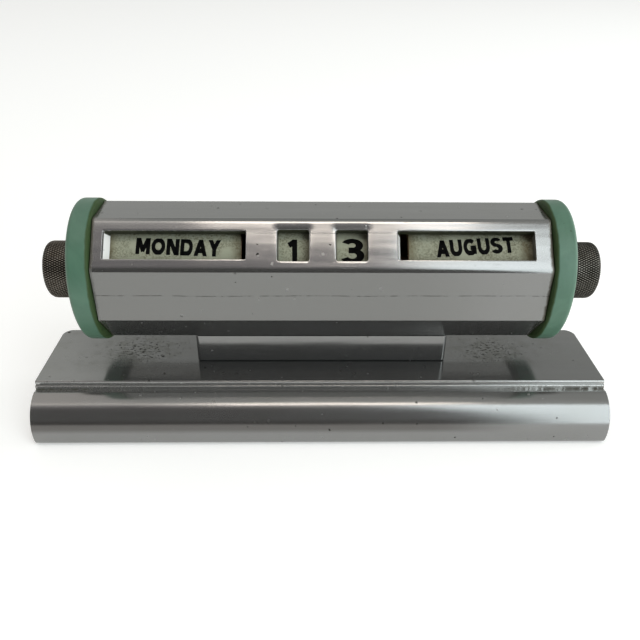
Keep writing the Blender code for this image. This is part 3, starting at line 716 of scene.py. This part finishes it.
# width, then bars (from x, y to x, y) and arcs (middle x, y, half width, half height, start, end)
strokes = {
    "A": (0.86, (0.05, -0.15, 0.463, 1.1), (0.81, -0.15, 0.397, 1.1), (0.20, 0.30, 0.66, 0.30)),
    "B": (0.80, (0.115, 0, 0.115, 1), (0.1, 0.885, 0.44, 0.885), (0.1, 0.51, 0.46, 0.51),
          (0.1, 0.115, 0.46, 0.115), (0.43, 0.70, 0.20, 0.185, -90, 90),
          (0.45, 0.315, 0.23, 0.20, -90, 90)),
    "C": (0.90, (0.475, 0.5, 0.36, 0.385, 42, 318)),
    "D": (0.86, (0.115, 0, 0.115, 1), (0.1, 0.885, 0.45, 0.885), (0.1, 0.115, 0.45, 0.115),
          (0.43, 0.5, 0.315, 0.385, -90, 90)),
    "E": (0.70, (0.115, 0, 0.115, 1), (0.1, 0.885, 0.70, 0.885), (0.1, 0.5, 0.64, 0.5),
          (0.1, 0.115, 0.70, 0.115)),
    "F": (0.68, (0.115, 0, 0.115, 1), (0.1, 0.885, 0.68, 0.885), (0.1, 0.47, 0.62, 0.47)),
    "G": (0.92, (0.47, 0.5, 0.355, 0.385, 42, 325), (0.50, 0.43, 0.905, 0.43),
          (0.79, 0.06, 0.79, 0.50)),
    "H": (0.84, (0.115, 0, 0.115, 1), (0.725, 0, 0.725, 1), (0.1, 0.5, 0.75, 0.5)),
    "I": (0.23, (0.115, 0, 0.115, 1)),
    "J": (0.66, (0.545, 0.33, 0.545, 1), (0.33, 0.33, 0.215, 0.215, 180, 360)),
    "L": (0.68, (0.115, 0, 0.115, 1), (0.1, 0.115, 0.68, 0.115)),
    "M": (0.98, (0.115, 0, 0.115, 1), (0.865, 0, 0.865, 1), (0.10, 1.1, 0.51, 0.16),
          (0.88, 1.1, 0.47, 0.16)),
    "N": (0.86, (0.115, 0, 0.115, 1), (0.745, 0, 0.745, 1), (0.10, 1.12, 0.76, -0.12)),
    "O": (0.95, (0.475, 0.5, 0.36, 0.385, 0, 360)),
    "P": (0.78, (0.115, 0, 0.115, 1), (0.1, 0.885, 0.45, 0.885), (0.1, 0.495, 0.45, 0.495),
          (0.44, 0.69, 0.225, 0.195, -90, 90)),
    "R": (0.82, (0.115, 0, 0.115, 1), (0.1, 0.885, 0.45, 0.885), (0.1, 0.495, 0.45, 0.495),
          (0.44, 0.69, 0.225, 0.195, -90, 90), (0.38, 0.52, 0.76, -0.12)),
    "S": (0.78, (0.39, 0.70, 0.26, 0.185, 25, 270), (0.39, 0.30, 0.275, 0.185, 90, -155)),
    "T": (0.76, (0, 0.885, 0.76, 0.885), (0.38, 0, 0.38, 1)),
    "U": (0.86, (0.115, 0.42, 0.115, 1), (0.745, 0.42, 0.745, 1),
          (0.43, 0.43, 0.315, 0.315, 180, 360)),
    "V": (0.84, (0.08, 1.1, 0.455, -0.1), (0.76, 1.1, 0.385, -0.1)),
    "W": (1.22, (0.09, 1.1, 0.385, -0.1), (0.335, -0.1, 0.63, 1.05), (0.59, 1.05, 0.885, -0.1),
          (0.835, -0.1, 1.13, 1.1)),
    "Y": (0.84, (0.42, 0, 0.42, 0.5), (0.44, 0.40, 0.06, 1.12), (0.40, 0.40, 0.78, 1.12)),
    "0": (0.80, (0.4, 0.5, 0.285, 0.385, 0, 360)),
    "1": (0.39, (0.28, 0, 0.28, 1), (0.28, 0.92, 0.02, 0.76)),
    "2": (0.80, (0.4, 0.69, 0.27, 0.195, 170, -42), (0.63, 0.60, 0.10, 0.06),
          (0.03, 0.115, 0.8, 0.115)),
    "3": (0.80, (0.38, 0.70, 0.25, 0.185, 155, -90), (0.38, 0.31, 0.285, 0.195, 90, -155),
          (0.26, 0.51, 0.42, 0.51)),
    "4": (0.80, (0.60, 0, 0.60, 1), (0, 0.29, 0.8, 0.29), (0.60, 1.02, 0.06, 0.24)),
    "5": (0.80, (0.22, 0.885, 0.72, 0.885), (0.20, 0.46, 0.22, 1),
          (0.38, 0.33, 0.285, 0.215, 125, -150)),
    "6": (0.80, (0.4, 0.32, 0.285, 0.205, 0, 360), (0.17, 0.34, 0.54, 1.08)),
    "7": (0.80, (0.02, 0.885, 0.78, 0.885), (0.70, 0.96, 0.26, -0.1)),
    "8": (0.80, (0.4, 0.70, 0.24, 0.185, 0, 360), (0.4, 0.31, 0.285, 0.195, 0, 360)),
    "9": (0.80, (0.4, 0.68, 0.285, 0.205, 0, 360), (0.63, 0.66, 0.26, -0.08)),
}


def addBar(shape, thick, fromX, fromY, toX, toY):
    way = Vector((toX - fromX, toY - fromY, 0))
    bar = bmesh.ops.create_grid(shape, x_segments=1, y_segments=1, size=0.5)["verts"]
    bmesh.ops.scale(shape, verts=bar, vec=(way.length, thick, 1))
    bmesh.ops.rotate(shape, verts=bar, matrix=Matrix.Rotation(math.atan2(way.y, way.x), 3, "Z"))
    bmesh.ops.translate(shape, verts=bar, vec=((fromX + toX) / 2, (fromY + toY) / 2, 0))


def addArc(shape, thick, x, y, wide, tall, start, end):
    before = set(shape.verts)
    mean, half = (wide + tall) / 2, thick / 2
    ends = [shape.verts.new((mean - half, 0, 0)), shape.verts.new((mean + half, 0, 0))]
    edge = shape.edges.new(ends)
    bmesh.ops.rotate(shape, verts=ends, matrix=Matrix.Rotation(math.radians(start), 3, "Z"))
    bmesh.ops.spin(shape, geom=[*ends, edge], cent=(0, 0, 0), axis=(0, 0, 1), dvec=(0, 0, 0),
                   angle=math.radians(end - start), steps=round(abs(end - start) / 12),
                   use_merge=end - start == 360)
    bow = [vert for vert in shape.verts if vert not in before]
    bmesh.ops.scale(shape, verts=bow, vec=(wide / mean, tall / mean, 1))
    bmesh.ops.translate(shape, verts=bow, vec=(x, y, 0))


def flatWord(word):  # bold print, one unit tall, its middle at the origin
    shape = bmesh.new()
    thick = printSet["bold" if len(word) > 1 else "boldDigit"]
    along = 0
    for sign in word:
        width, *drawn = strokes[sign]
        before = set(shape.verts)
        for stroke in drawn:
            (addBar if len(stroke) == 4 else addArc)(shape, thick, *stroke)
        letter = [vert for vert in shape.verts if vert not in before]
        bmesh.ops.translate(shape, verts=letter, vec=(along, 0, 0))
        along += width + printSet["gap"]
    for height, way in ((1, 1), (0, -1)):
        everything = shape.verts[:] + shape.edges[:] + shape.faces[:]
        bmesh.ops.bisect_plane(shape, geom=everything, dist=1e-7, plane_co=(0, height, 0),
                               plane_no=(0, way, 0), clear_outer=True)
    shape.normal_update()
    bmesh.ops.reverse_faces(shape, faces=[face for face in shape.faces if face.normal.z < 0])
    size = Vector((along - printSet["gap"], 1, 0))
    bmesh.ops.translate(shape, verts=shape.verts, vec=-size / 2)
    return shape, size


def makePrint(name):
    made = drums[name]
    low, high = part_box(f"{name}_label")
    outer = (high.z - low.z) / 2
    whole = bmesh.new()
    room = (high.x - low.x) * 0.9
    for i, word in enumerate(made["words"]):
        shape, size = flatWord(word)
        if i == 0:
            narrow = made["wide"] / size.x
        across = min(narrow, room / size.x)
        if len(word) == 1:
            across = printSet["oneWide" if word == "1" else "digitWide"] / size.x
        bmesh.ops.scale(shape, vec=(across, made["tall"] / size.y, 1), verts=shape.verts)
        if i == 0:
            tilt = Matrix.Rotation(math.radians(made["tilt"]), 3, "Z")
            bmesh.ops.rotate(shape, matrix=tilt, verts=shape.verts)
        line = -made["tall"]
        while line < made["tall"]:
            everything = shape.verts[:] + shape.edges[:] + shape.faces[:]
            bmesh.ops.bisect_plane(shape, geom=everything, dist=1e-7, plane_co=(0, line, 0),
                                   plane_no=(0, 1, 0))
            line += printSet["slice"]
        raised = bmesh.ops.extrude_face_region(shape, geom=shape.faces[:])["geom"]
        top = [item for item in raised if isinstance(item, bmesh.types.BMVert)]
        bmesh.ops.translate(shape, verts=top, vec=(0, 0, 2 * printSet["height"]))
        slot = 2 * math.pi / len(made["words"])
        for vert in shape.verts:
            angle = math.radians(made["turn"]) + vert.co.y / outer - i * slot + upperFacet
            reach = outer + vert.co.z - printSet["height"]
            vert.co.x += made["middle"]
            vert.co.yz = -reach * math.cos(angle), reach * math.sin(angle)
        bmesh.ops.translate(shape, verts=shape.verts, vec=axis)
        bmesh.ops.recalc_face_normals(shape, faces=shape.faces)
        mesh = bpy.data.meshes.new(word)
        shape.to_mesh(mesh)
        shape.free()
        whole.from_mesh(mesh)
        bpy.data.meshes.remove(mesh)
    return whole


metalSet = {
    "colour": (0.25, 0.25, 0.245),
    "metallic": 0.82,  # the rest is dull oxide
    "roughness": 0.13,
    "pit": (0.02, 0.018, 0.014),
    "grimeAndShade": (0.045, 0.040, 0.018),
    "cloud": (0.235, 0.235, 0.222),
    "scratch": (0.12, 0.12, 0.115),
    "bright": (0.50, 0.50, 0.49),
}


def pitted(place, spacing, size, share):  # 1 in ragged pits of many sizes, in a share of the cells
    wobble = place.noise(spacing * 2.6, 3.0)
    cell = place.cells(spacing, "Color")
    chance = cell.node("SeparateColor", {}, {"Color": cell}, "Red")
    width = cell.node("SeparateColor", {}, {"Color": cell}, "Green")
    distance = place.cells(spacing) + (wobble - 0.5) * 0.5
    reach = size * (width * 0.75 + 0.25)
    inside = (reach - distance).step(0.0, 0.05)
    return inside * chance.step(1 - share, 1 - share + 0.01)


def metal(name, extras=None, pitShare=0.05):
    material, shader, place = newMaterial(name, Metallic=metalSet["metallic"])
    drawn = place.mapped((40, 1100, 1100))  # fine lines along the extrusion
    lines = drawn.noise(1.0, 1.0, 0.5)
    cloud = place.noise(90, 3.0)
    haze = place.mapped((30, 160, 160)).noise(1.0, 3.0)
    speck = pitted(place, 520, 0.24, pitShare)
    bright = pitted(place.mapped((1, 1, 1), place=(0.3, 0.2, 0.1)), 520, 0.22, pitShare * 0.7)
    patches = place.noise(60, 2.0).step(0.45, 0.62)
    speck = speck * (patches * 0.7 + 0.3)
    scratchA = place.mapped((40, 900, 900), (0.2, 0.5, 0.35)).noise(1.0, 1.0)
    scratch = scratchA.near(0.5, 0.0035) * place.noise(220, 2.0).step(0.56, 0.66)
    colour = flat(place, metalSet["colour"])
    colour = colour.blend(cloud.step(0.35, 0.75) * 0.35, metalSet["cloud"])
    colour = colour.blend(scratch * 0.4, metalSet["scratch"])
    rough = metalSet["roughness"] + (haze - 0.4) * 0.12 + (lines - 0.5) * 0.06
    rough = rough + bright * 0.3
    if extras:
        colour, rough, dirt, dull = extras(place, colour, rough)
        speck = speck.math("MAXIMUM", speck, dirt)
        plug(shader, Metallic=metalSet["metallic"] * (1 - dull))
    colour = colour.blend(speck, metalSet["pit"]).blend(bright * 0.2, metalSet["bright"])
    rough = rough + speck * 0.5
    fine = (lines * 0.3 - speck * 2.0 - scratch).bump(0.10, 0.00006)
    wavy = place.mapped((20, 140, 140)).noise(1.0, 2.0).bump(0.25, 0.0003, fine)
    plug(shader, Base_Color=colour, Roughness=rough, Normal=wavy)
    return material


def baseMarks(place, colour, rough):  # returns colour, roughness, dirt and dullness
    x, y, z = (place.part(name) for name in "XYZ")
    rollBack = baseLow.y + baseSet["roll"]
    top = baseHigh.z
    plate = z.step(top - 0.4 * mm, top - 0.1 * mm)
    plate = plate * y.step(rollBack + 0.8 * mm, rollBack + 1.4 * mm)
    onRoll = y.step(rollBack + 0.2 * mm, rollBack - 0.8 * mm)
    # painted light: the steps between plate and roll painted lighter than the rest of the metal
    steps = (1 - plate) * y.step(rollBack - 1.4 * mm, rollBack - 0.7 * mm)
    steps = steps * z.step(top - 4 * mm, top - 3 * mm)
    ends = abs(x).step(0.040, 0.078)
    groove = z.near(top - 2.4 * mm, 1.5 * mm) * y.near(rollBack + 0.4 * mm, 1.8 * mm)
    ragged = place.mapped((900, 500, 500)).noise(1.0, 5.0, 0.7)
    # grime, and painted shade, in the groove, most towards the ends
    grimeAndShade = groove * (ends * 0.75 + 0.05) * ragged.step(0.40, 0.56)
    left = x.near(-0.055, 0.026) * y.near(0.004, 0.019)
    right = x.near(0.053, 0.026) * y.near(0.004, 0.018)
    spots = place.mapped((850, 1250, 1250)).noise(1.0, 5.0, 0.75)
    bite = (spots + (left + right) * 0.14).step(0.665, 0.71) * plate
    colour = colour.blend(steps * 0.8, (0.42, 0.42, 0.41)).blend(grimeAndShade, metalSet["grimeAndShade"])
    stain = place.noise(150, 4.0, 0.7).step(0.5, 0.8) * plate
    smear = (left + right).step(0.1, 0.9) * place.noise(320, 3.0, 0.6).step(0.40, 0.62) * plate
    colour = colour.blend(stain * 0.3, (0.15, 0.15, 0.125)).blend(smear * 0.35, (0.11, 0.11, 0.085))
    # painted shade: a dark band across the front of the roll, a painted dark reflection, fading out
    # towards the right end
    rollShadeBand = z.step(4.4 * mm, 6.4 * mm) * z.step(9.2 * mm, 7.6 * mm) * onRoll
    rollShadeBand = rollShadeBand * x.step(0.062, 0.030)
    colour = colour.blend(rollShadeBand * 0.62, (0.075, 0.064, 0.058))
    rough = rough + grimeAndShade * 0.45 + stain * 0.08 + smear * 0.1 + onRoll * 0.06
    return colour, rough, bite * 0.9, grimeAndShade * 0.6


def tubeMarks(place, colour, rough):  # returns colour, roughness, dirt and dullness
    x, y, z = (place.part(name) for name in "XYZ")
    slope = math.sqrt(0.5)
    out = (z - axis.z) * slope - (y - axis.y) * slope  # square to the window side
    up = (z - axis.z) * slope + (y - axis.y) * slope
    # grime, and painted shade, at the ends where the tube meets the caps
    ends = abs(x) + place.noise(600, 4.0, 0.7) * 0.0016
    ends = ends.step(tubeHigh.x - 0.1 * mm, tubeHigh.x + 0.7 * mm)
    colour = colour.blend(ends * 0.8, metalSet["grimeAndShade"])
    wander = place.mapped((60, 60, 60)).noise(1.0, 2.0) * 0.0006
    line = (z + wander).near(axis.z + 0.45 * mm, 0.00023)  # a long scratch on the front
    line = line * y.step(tubeLow.y + 0.4 * mm, tubeLow.y + 0.1 * mm)
    line = line * place.mapped((300, 1, 1)).noise(1.0, 3.0).step(0.35, 0.6)
    crease = (up + wander).near(3.75 * mm, 0.00010) * abs(x).step(19.5 * mm, 17.5 * mm)
    inside = out.step(facetReach - 0.35 * mm, facetReach - 0.6 * mm)  # the walls of the windows, painted dark: painted shade
    inside = inside * out.step(facetReach - 5 * mm, facetReach - 4 * mm)
    inside = inside * abs(up).step(6.3 * mm, 6.0 * mm)
    # painted highlight: the left walls of the weekday and month windows painted near white
    leftWallHighlight = 0
    for name in ("weekday", "month"):
        leftWallHighlight = x.near(windowSize(name)[0] + 0.8 * mm, 1.6 * mm).step(0.05, 0.15) + leftWallHighlight
    colour = colour.blend(inside, (0.10, 0.10, 0.085)).blend(inside * leftWallHighlight, (0.80, 0.80, 0.77))
    # painted shadow: the upper walls of the windows painted near black
    upperWallShadow = inside * up.step(3.2 * mm, 3.5 * mm)
    colour = colour.blend(upperWallShadow, (0.022, 0.026, 0.012))
    # painted shade: the front side of the tube painted darker, fading out towards the right end
    frontFacetShade = y.step(tubeLow.y + 0.8 * mm, tubeLow.y + 0.2 * mm) * x.step(0.060, 0.020)
    colour = colour.blend(frontFacetShade * 0.8, (0.195, 0.195, 0.188))
    dirt = (line * 0.6).math("MAXIMUM", line * 0.6, crease * 0.7)
    return colour, rough + ends * 0.3 + inside * 0.4, dirt, inside * 0.85 + ends * 0.3


jadeSet = {
    "colour": (0.072, 0.156, 0.104),
    "swirl": (0.102, 0.206, 0.140),
    "mottle": (0.070, 0.155, 0.100),
    "grimeAndShade": (0.020, 0.045, 0.004),  # grime and painted shade where cap and tube meet
    "speck": (0.04, 0.07, 0.04),
}


def jade():
    material, shader, place = newMaterial(
        "jadePlastic", Specular_IOR_Level=0.45, Subsurface_Weight=0.15,
        Subsurface_Radius=(0.3, 0.6, 0.4), Subsurface_Scale=2 * mm)
    swirl = place.mapped((90, 60, 60)).noise(1.0, 5.0, 0.6, 1.6)
    mottle = place.noise(420, 4.0, 0.6)
    colour = flat(place, jadeSet["colour"]).blend(swirl.step(0.35, 0.7) * 0.6, jadeSet["swirl"])
    colour = colour.blend(mottle.step(0.45, 0.8) * 0.35, jadeSet["mottle"])
    # grime and painted shade: the cap painted darker next to the tube, and rougher
    out = abs(place.part("X")) + place.noise(300, 3.0) * 0.0005
    grimeAndShade = out.step(tubeHigh.x + 1.5 * mm, tubeHigh.x + 0.9 * mm)
    colour = colour.blend(grimeAndShade * 0.95, jadeSet["grimeAndShade"])
    colour = colour.blend(pitted(place, 700, 0.25, 0.06) * 0.6, jadeSet["speck"])
    rough = 0.36 + mottle * 0.14 + grimeAndShade * 0.3
    plug(shader, Base_Color=colour, Roughness=rough,
         Normal=(mottle + swirl * 0.6).bump(0.08, 0.0002))
    return material


knurlSet = {
    "colour": (0.30, 0.285, 0.250),
    "patina": (0.090, 0.085, 0.068),
    "left": (0.46, 0.40, 0.33),  # the left knob is browner, and painted lighter: painted light
    "groove": (0.006, 0.005, 0.004),
}


def knurled():
    material, shader, place = newMaterial("knurledMetal", Metallic=1.0)
    out = place.mapped((0, 1, 1), (0, 0, 0), (0, -axis.y, -axis.z))
    reach = out.node("VectorMath", {"operation": "LENGTH"}, {0: out}, "Value")
    x = place.part("X")
    ends = [abs(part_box(f"knob_{side}")[number].x) for number, side in ((0, "left"), (1, "right"))]
    face = x.step(-mm, mm, *ends)
    edge = knobSet["edge"]
    past = (abs(x) - face + edge).math("MAXIMUM", abs(x) - face + edge, 0.0)
    bend = edge ** 2 - past * past  # the grooves follow the rounded edge
    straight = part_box("knob_left")[1].z - axis.z - edge
    smooth = bend.math("SQRT", bend.math("MAXIMUM", bend, 0.0)) + straight
    depth = smooth - reach
    # painted shade: the knurl grooves painted near black
    groove = depth.step(0.01 * mm, 0.10 * mm) * depth.step(0.45 * mm, 0.30 * mm)
    groove = groove * past.step(edge - 0.03 * mm, edge - 0.12 * mm)  # the end face has none
    patina = place.noise(260, 4.0, 0.65)
    colour = flat(place, knurlSet["colour"])
    colour = colour.blend(patina.step(0.35, 0.7) * 0.7, knurlSet["patina"])
    # painted light: the left knob painted lighter and browner than the right
    colour = colour.blend(x.step(mm, -mm) * 0.45, knurlSet["left"])
    colour = colour.blend(groove * 0.97, knurlSet["groove"])
    rough = 0.30 + patina * 0.22 + groove * 0.25
    plug(shader, Base_Color=colour, Roughness=rough, Normal=patina.bump(0.15, 0.00008))
    return material


paperSet = {
    "colour": (0.36, 0.37, 0.275),
    "cloud": (0.27, 0.285, 0.205),
    "fibre": (0.23, 0.24, 0.17),
    "worn": (0.13, 0.10, 0.045),
    "dust": (0.10, 0.085, 0.045),
    "foxing": (0.16, 0.14, 0.08),
    "wornAt": (-57.5, -22.0, -15.3, -1.3, 1.3, 15.3, 23.1, 55.5),  # mm along X, the ends of the bands
}


def agedPaper():
    material, shader, place = newMaterial("agedPaper", Roughness=0.75, Specular_IOR_Level=0.25)
    fibre = place.mapped((1, 1, 1)).noise(2600, 4.0, 0.7)
    cloud = place.noise(260, 4.0, 0.6)
    colour = flat(place, paperSet["colour"]).blend(cloud.step(0.35, 0.75) * 0.5, paperSet["cloud"])
    colour = colour.blend(fibre.step(0.5, 0.8) * 0.25, paperSet["fibre"])
    x = place.part("X")
    ends = abs(x).step(55.0 * mm, 58.5 * mm)
    for spot in paperSet["wornAt"]:
        ends = ends.math("MAXIMUM", ends, x.near(spot * mm, 3.2 * mm))
    worn = ends * (place.noise(700, 4.0, 0.7) + 0.15).step(0.35, 0.75)
    colour = colour.blend(worn * 0.75, paperSet["worn"])
    soiled = x.step(20 * mm, 30 * mm) * 0.025  # a little more on the month drum
    dust = (place.noise(1900, 5.0, 0.8) + soiled).step(0.46, 0.61)
    dust = dust * place.noise(170, 2.0).step(0.34, 0.56)
    colour = colour.blend(dust * 0.7, paperSet["dust"])
    colour = colour.blend(pitted(place, 1500, 0.35, 0.16) * 0.6, paperSet["foxing"])
    plug(shader, Base_Color=colour, Normal=fibre.bump(0.15, 0.00005))
    return material


def inkBlack():
    material, shader, place = newMaterial("printInk", Roughness=0.7, Specular_IOR_Level=0.06)
    worn = place.noise(2400, 3.0, 0.6).step(0.62, 0.74)
    colour = flat(place, (0.002, 0.002, 0.002)).blend(worn * 0.14, (0.05, 0.05, 0.035))
    plug(shader, Base_Color=colour)
    return material


def simpleFinish(name, colour, worn, roughness, metallic, grain=900):
    material, shader, place = newMaterial(name, Metallic=metallic)
    grains = place.noise(grain, 4.0, 0.6)
    tint = flat(place, colour).blend(place.noise(180, 4.0, 0.6).step(0.35, 0.7) * 0.7, worn)
    plug(shader, Base_Color=tint, Roughness=roughness + grains * 0.2,
         Normal=grains.bump(0.12, 0.00006))
    return material


finishes = {
    "aluminium": metal("polishedAluminium"),
    "base": metal("polishedBase", baseMarks, 0.12),
    "tube": metal("polishedTube", tubeMarks, 0.08),
    "green_plastic": jade(),
    "dark_metal": knurled(),
    "label_paper": agedPaper(),
    "ink": inkBlack(),
    "steel": simpleFinish("turnedSteel", (0.42, 0.42, 0.41), (0.25, 0.23, 0.20), 0.25, 1.0),
    "brass": simpleFinish("agedBrass", (0.50, 0.36, 0.14), (0.28, 0.19, 0.08), 0.25, 1.0),
    "tinplate": simpleFinish("dullTinplate", (0.42, 0.31, 0.19), (0.22, 0.15, 0.09), 0.45, 0.1),
    "brown_fibre": simpleFinish("brownFibre", (0.20, 0.12, 0.065), (0.11, 0.065, 0.035), 0.6, 0.0,
                                1800),
    "felt": simpleFinish("greenFelt", (0.05, 0.10, 0.06), (0.03, 0.06, 0.035), 0.8, 0.0, 3000),
}
print("finishes made")


# the calendar put together
finishPiece(makeTube(), "tubeShell", "case", finishes["tube"], ["tube"])
finishPiece(makeBase(), "deskBase", "case", finishes["base"], ["base"])
finishPiece(makePedestal(), "pedestalBlock", "case", finishes["aluminium"],
            ["pedestal"])
print("tube, pedestal and base made")

for side in sides:
    finishPiece(makeCap(side), f"endCap_{side}", "case", finishes["green_plastic"],
                [f"end_cap_{side}"], sharp=50)
    finishPiece(makeKnob(side), f"knurledKnob_{side}", f"{side}_knob",
                finishes["dark_metal"], [f"knob_{side}"], weighted=False, sharp=75)
    spring = finishPiece(makeSpring(side), f"returnCoil_{side}", f"{side}_knob",
                         finishes["steel"], [f"return_spring_{side}"], weighted=False)
    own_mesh(spring)
print("caps, knobs and springs made")

for name in drums:
    finishPiece(makeBand(name), f"{name}Band", name, finishes["label_paper"],
                [f"{name}_label"])
    finishPiece(makePrint(name), f"{name}Print", name, finishes["ink"],
                weighted=False)
print("drums printed")

for row in frame["record"]["subparts"]:
    node = frame["nodes"][row["node"]]
    for held in node.material_slots:
        held.material = finishes[row["material_slot"]]
print("inner pieces finished")
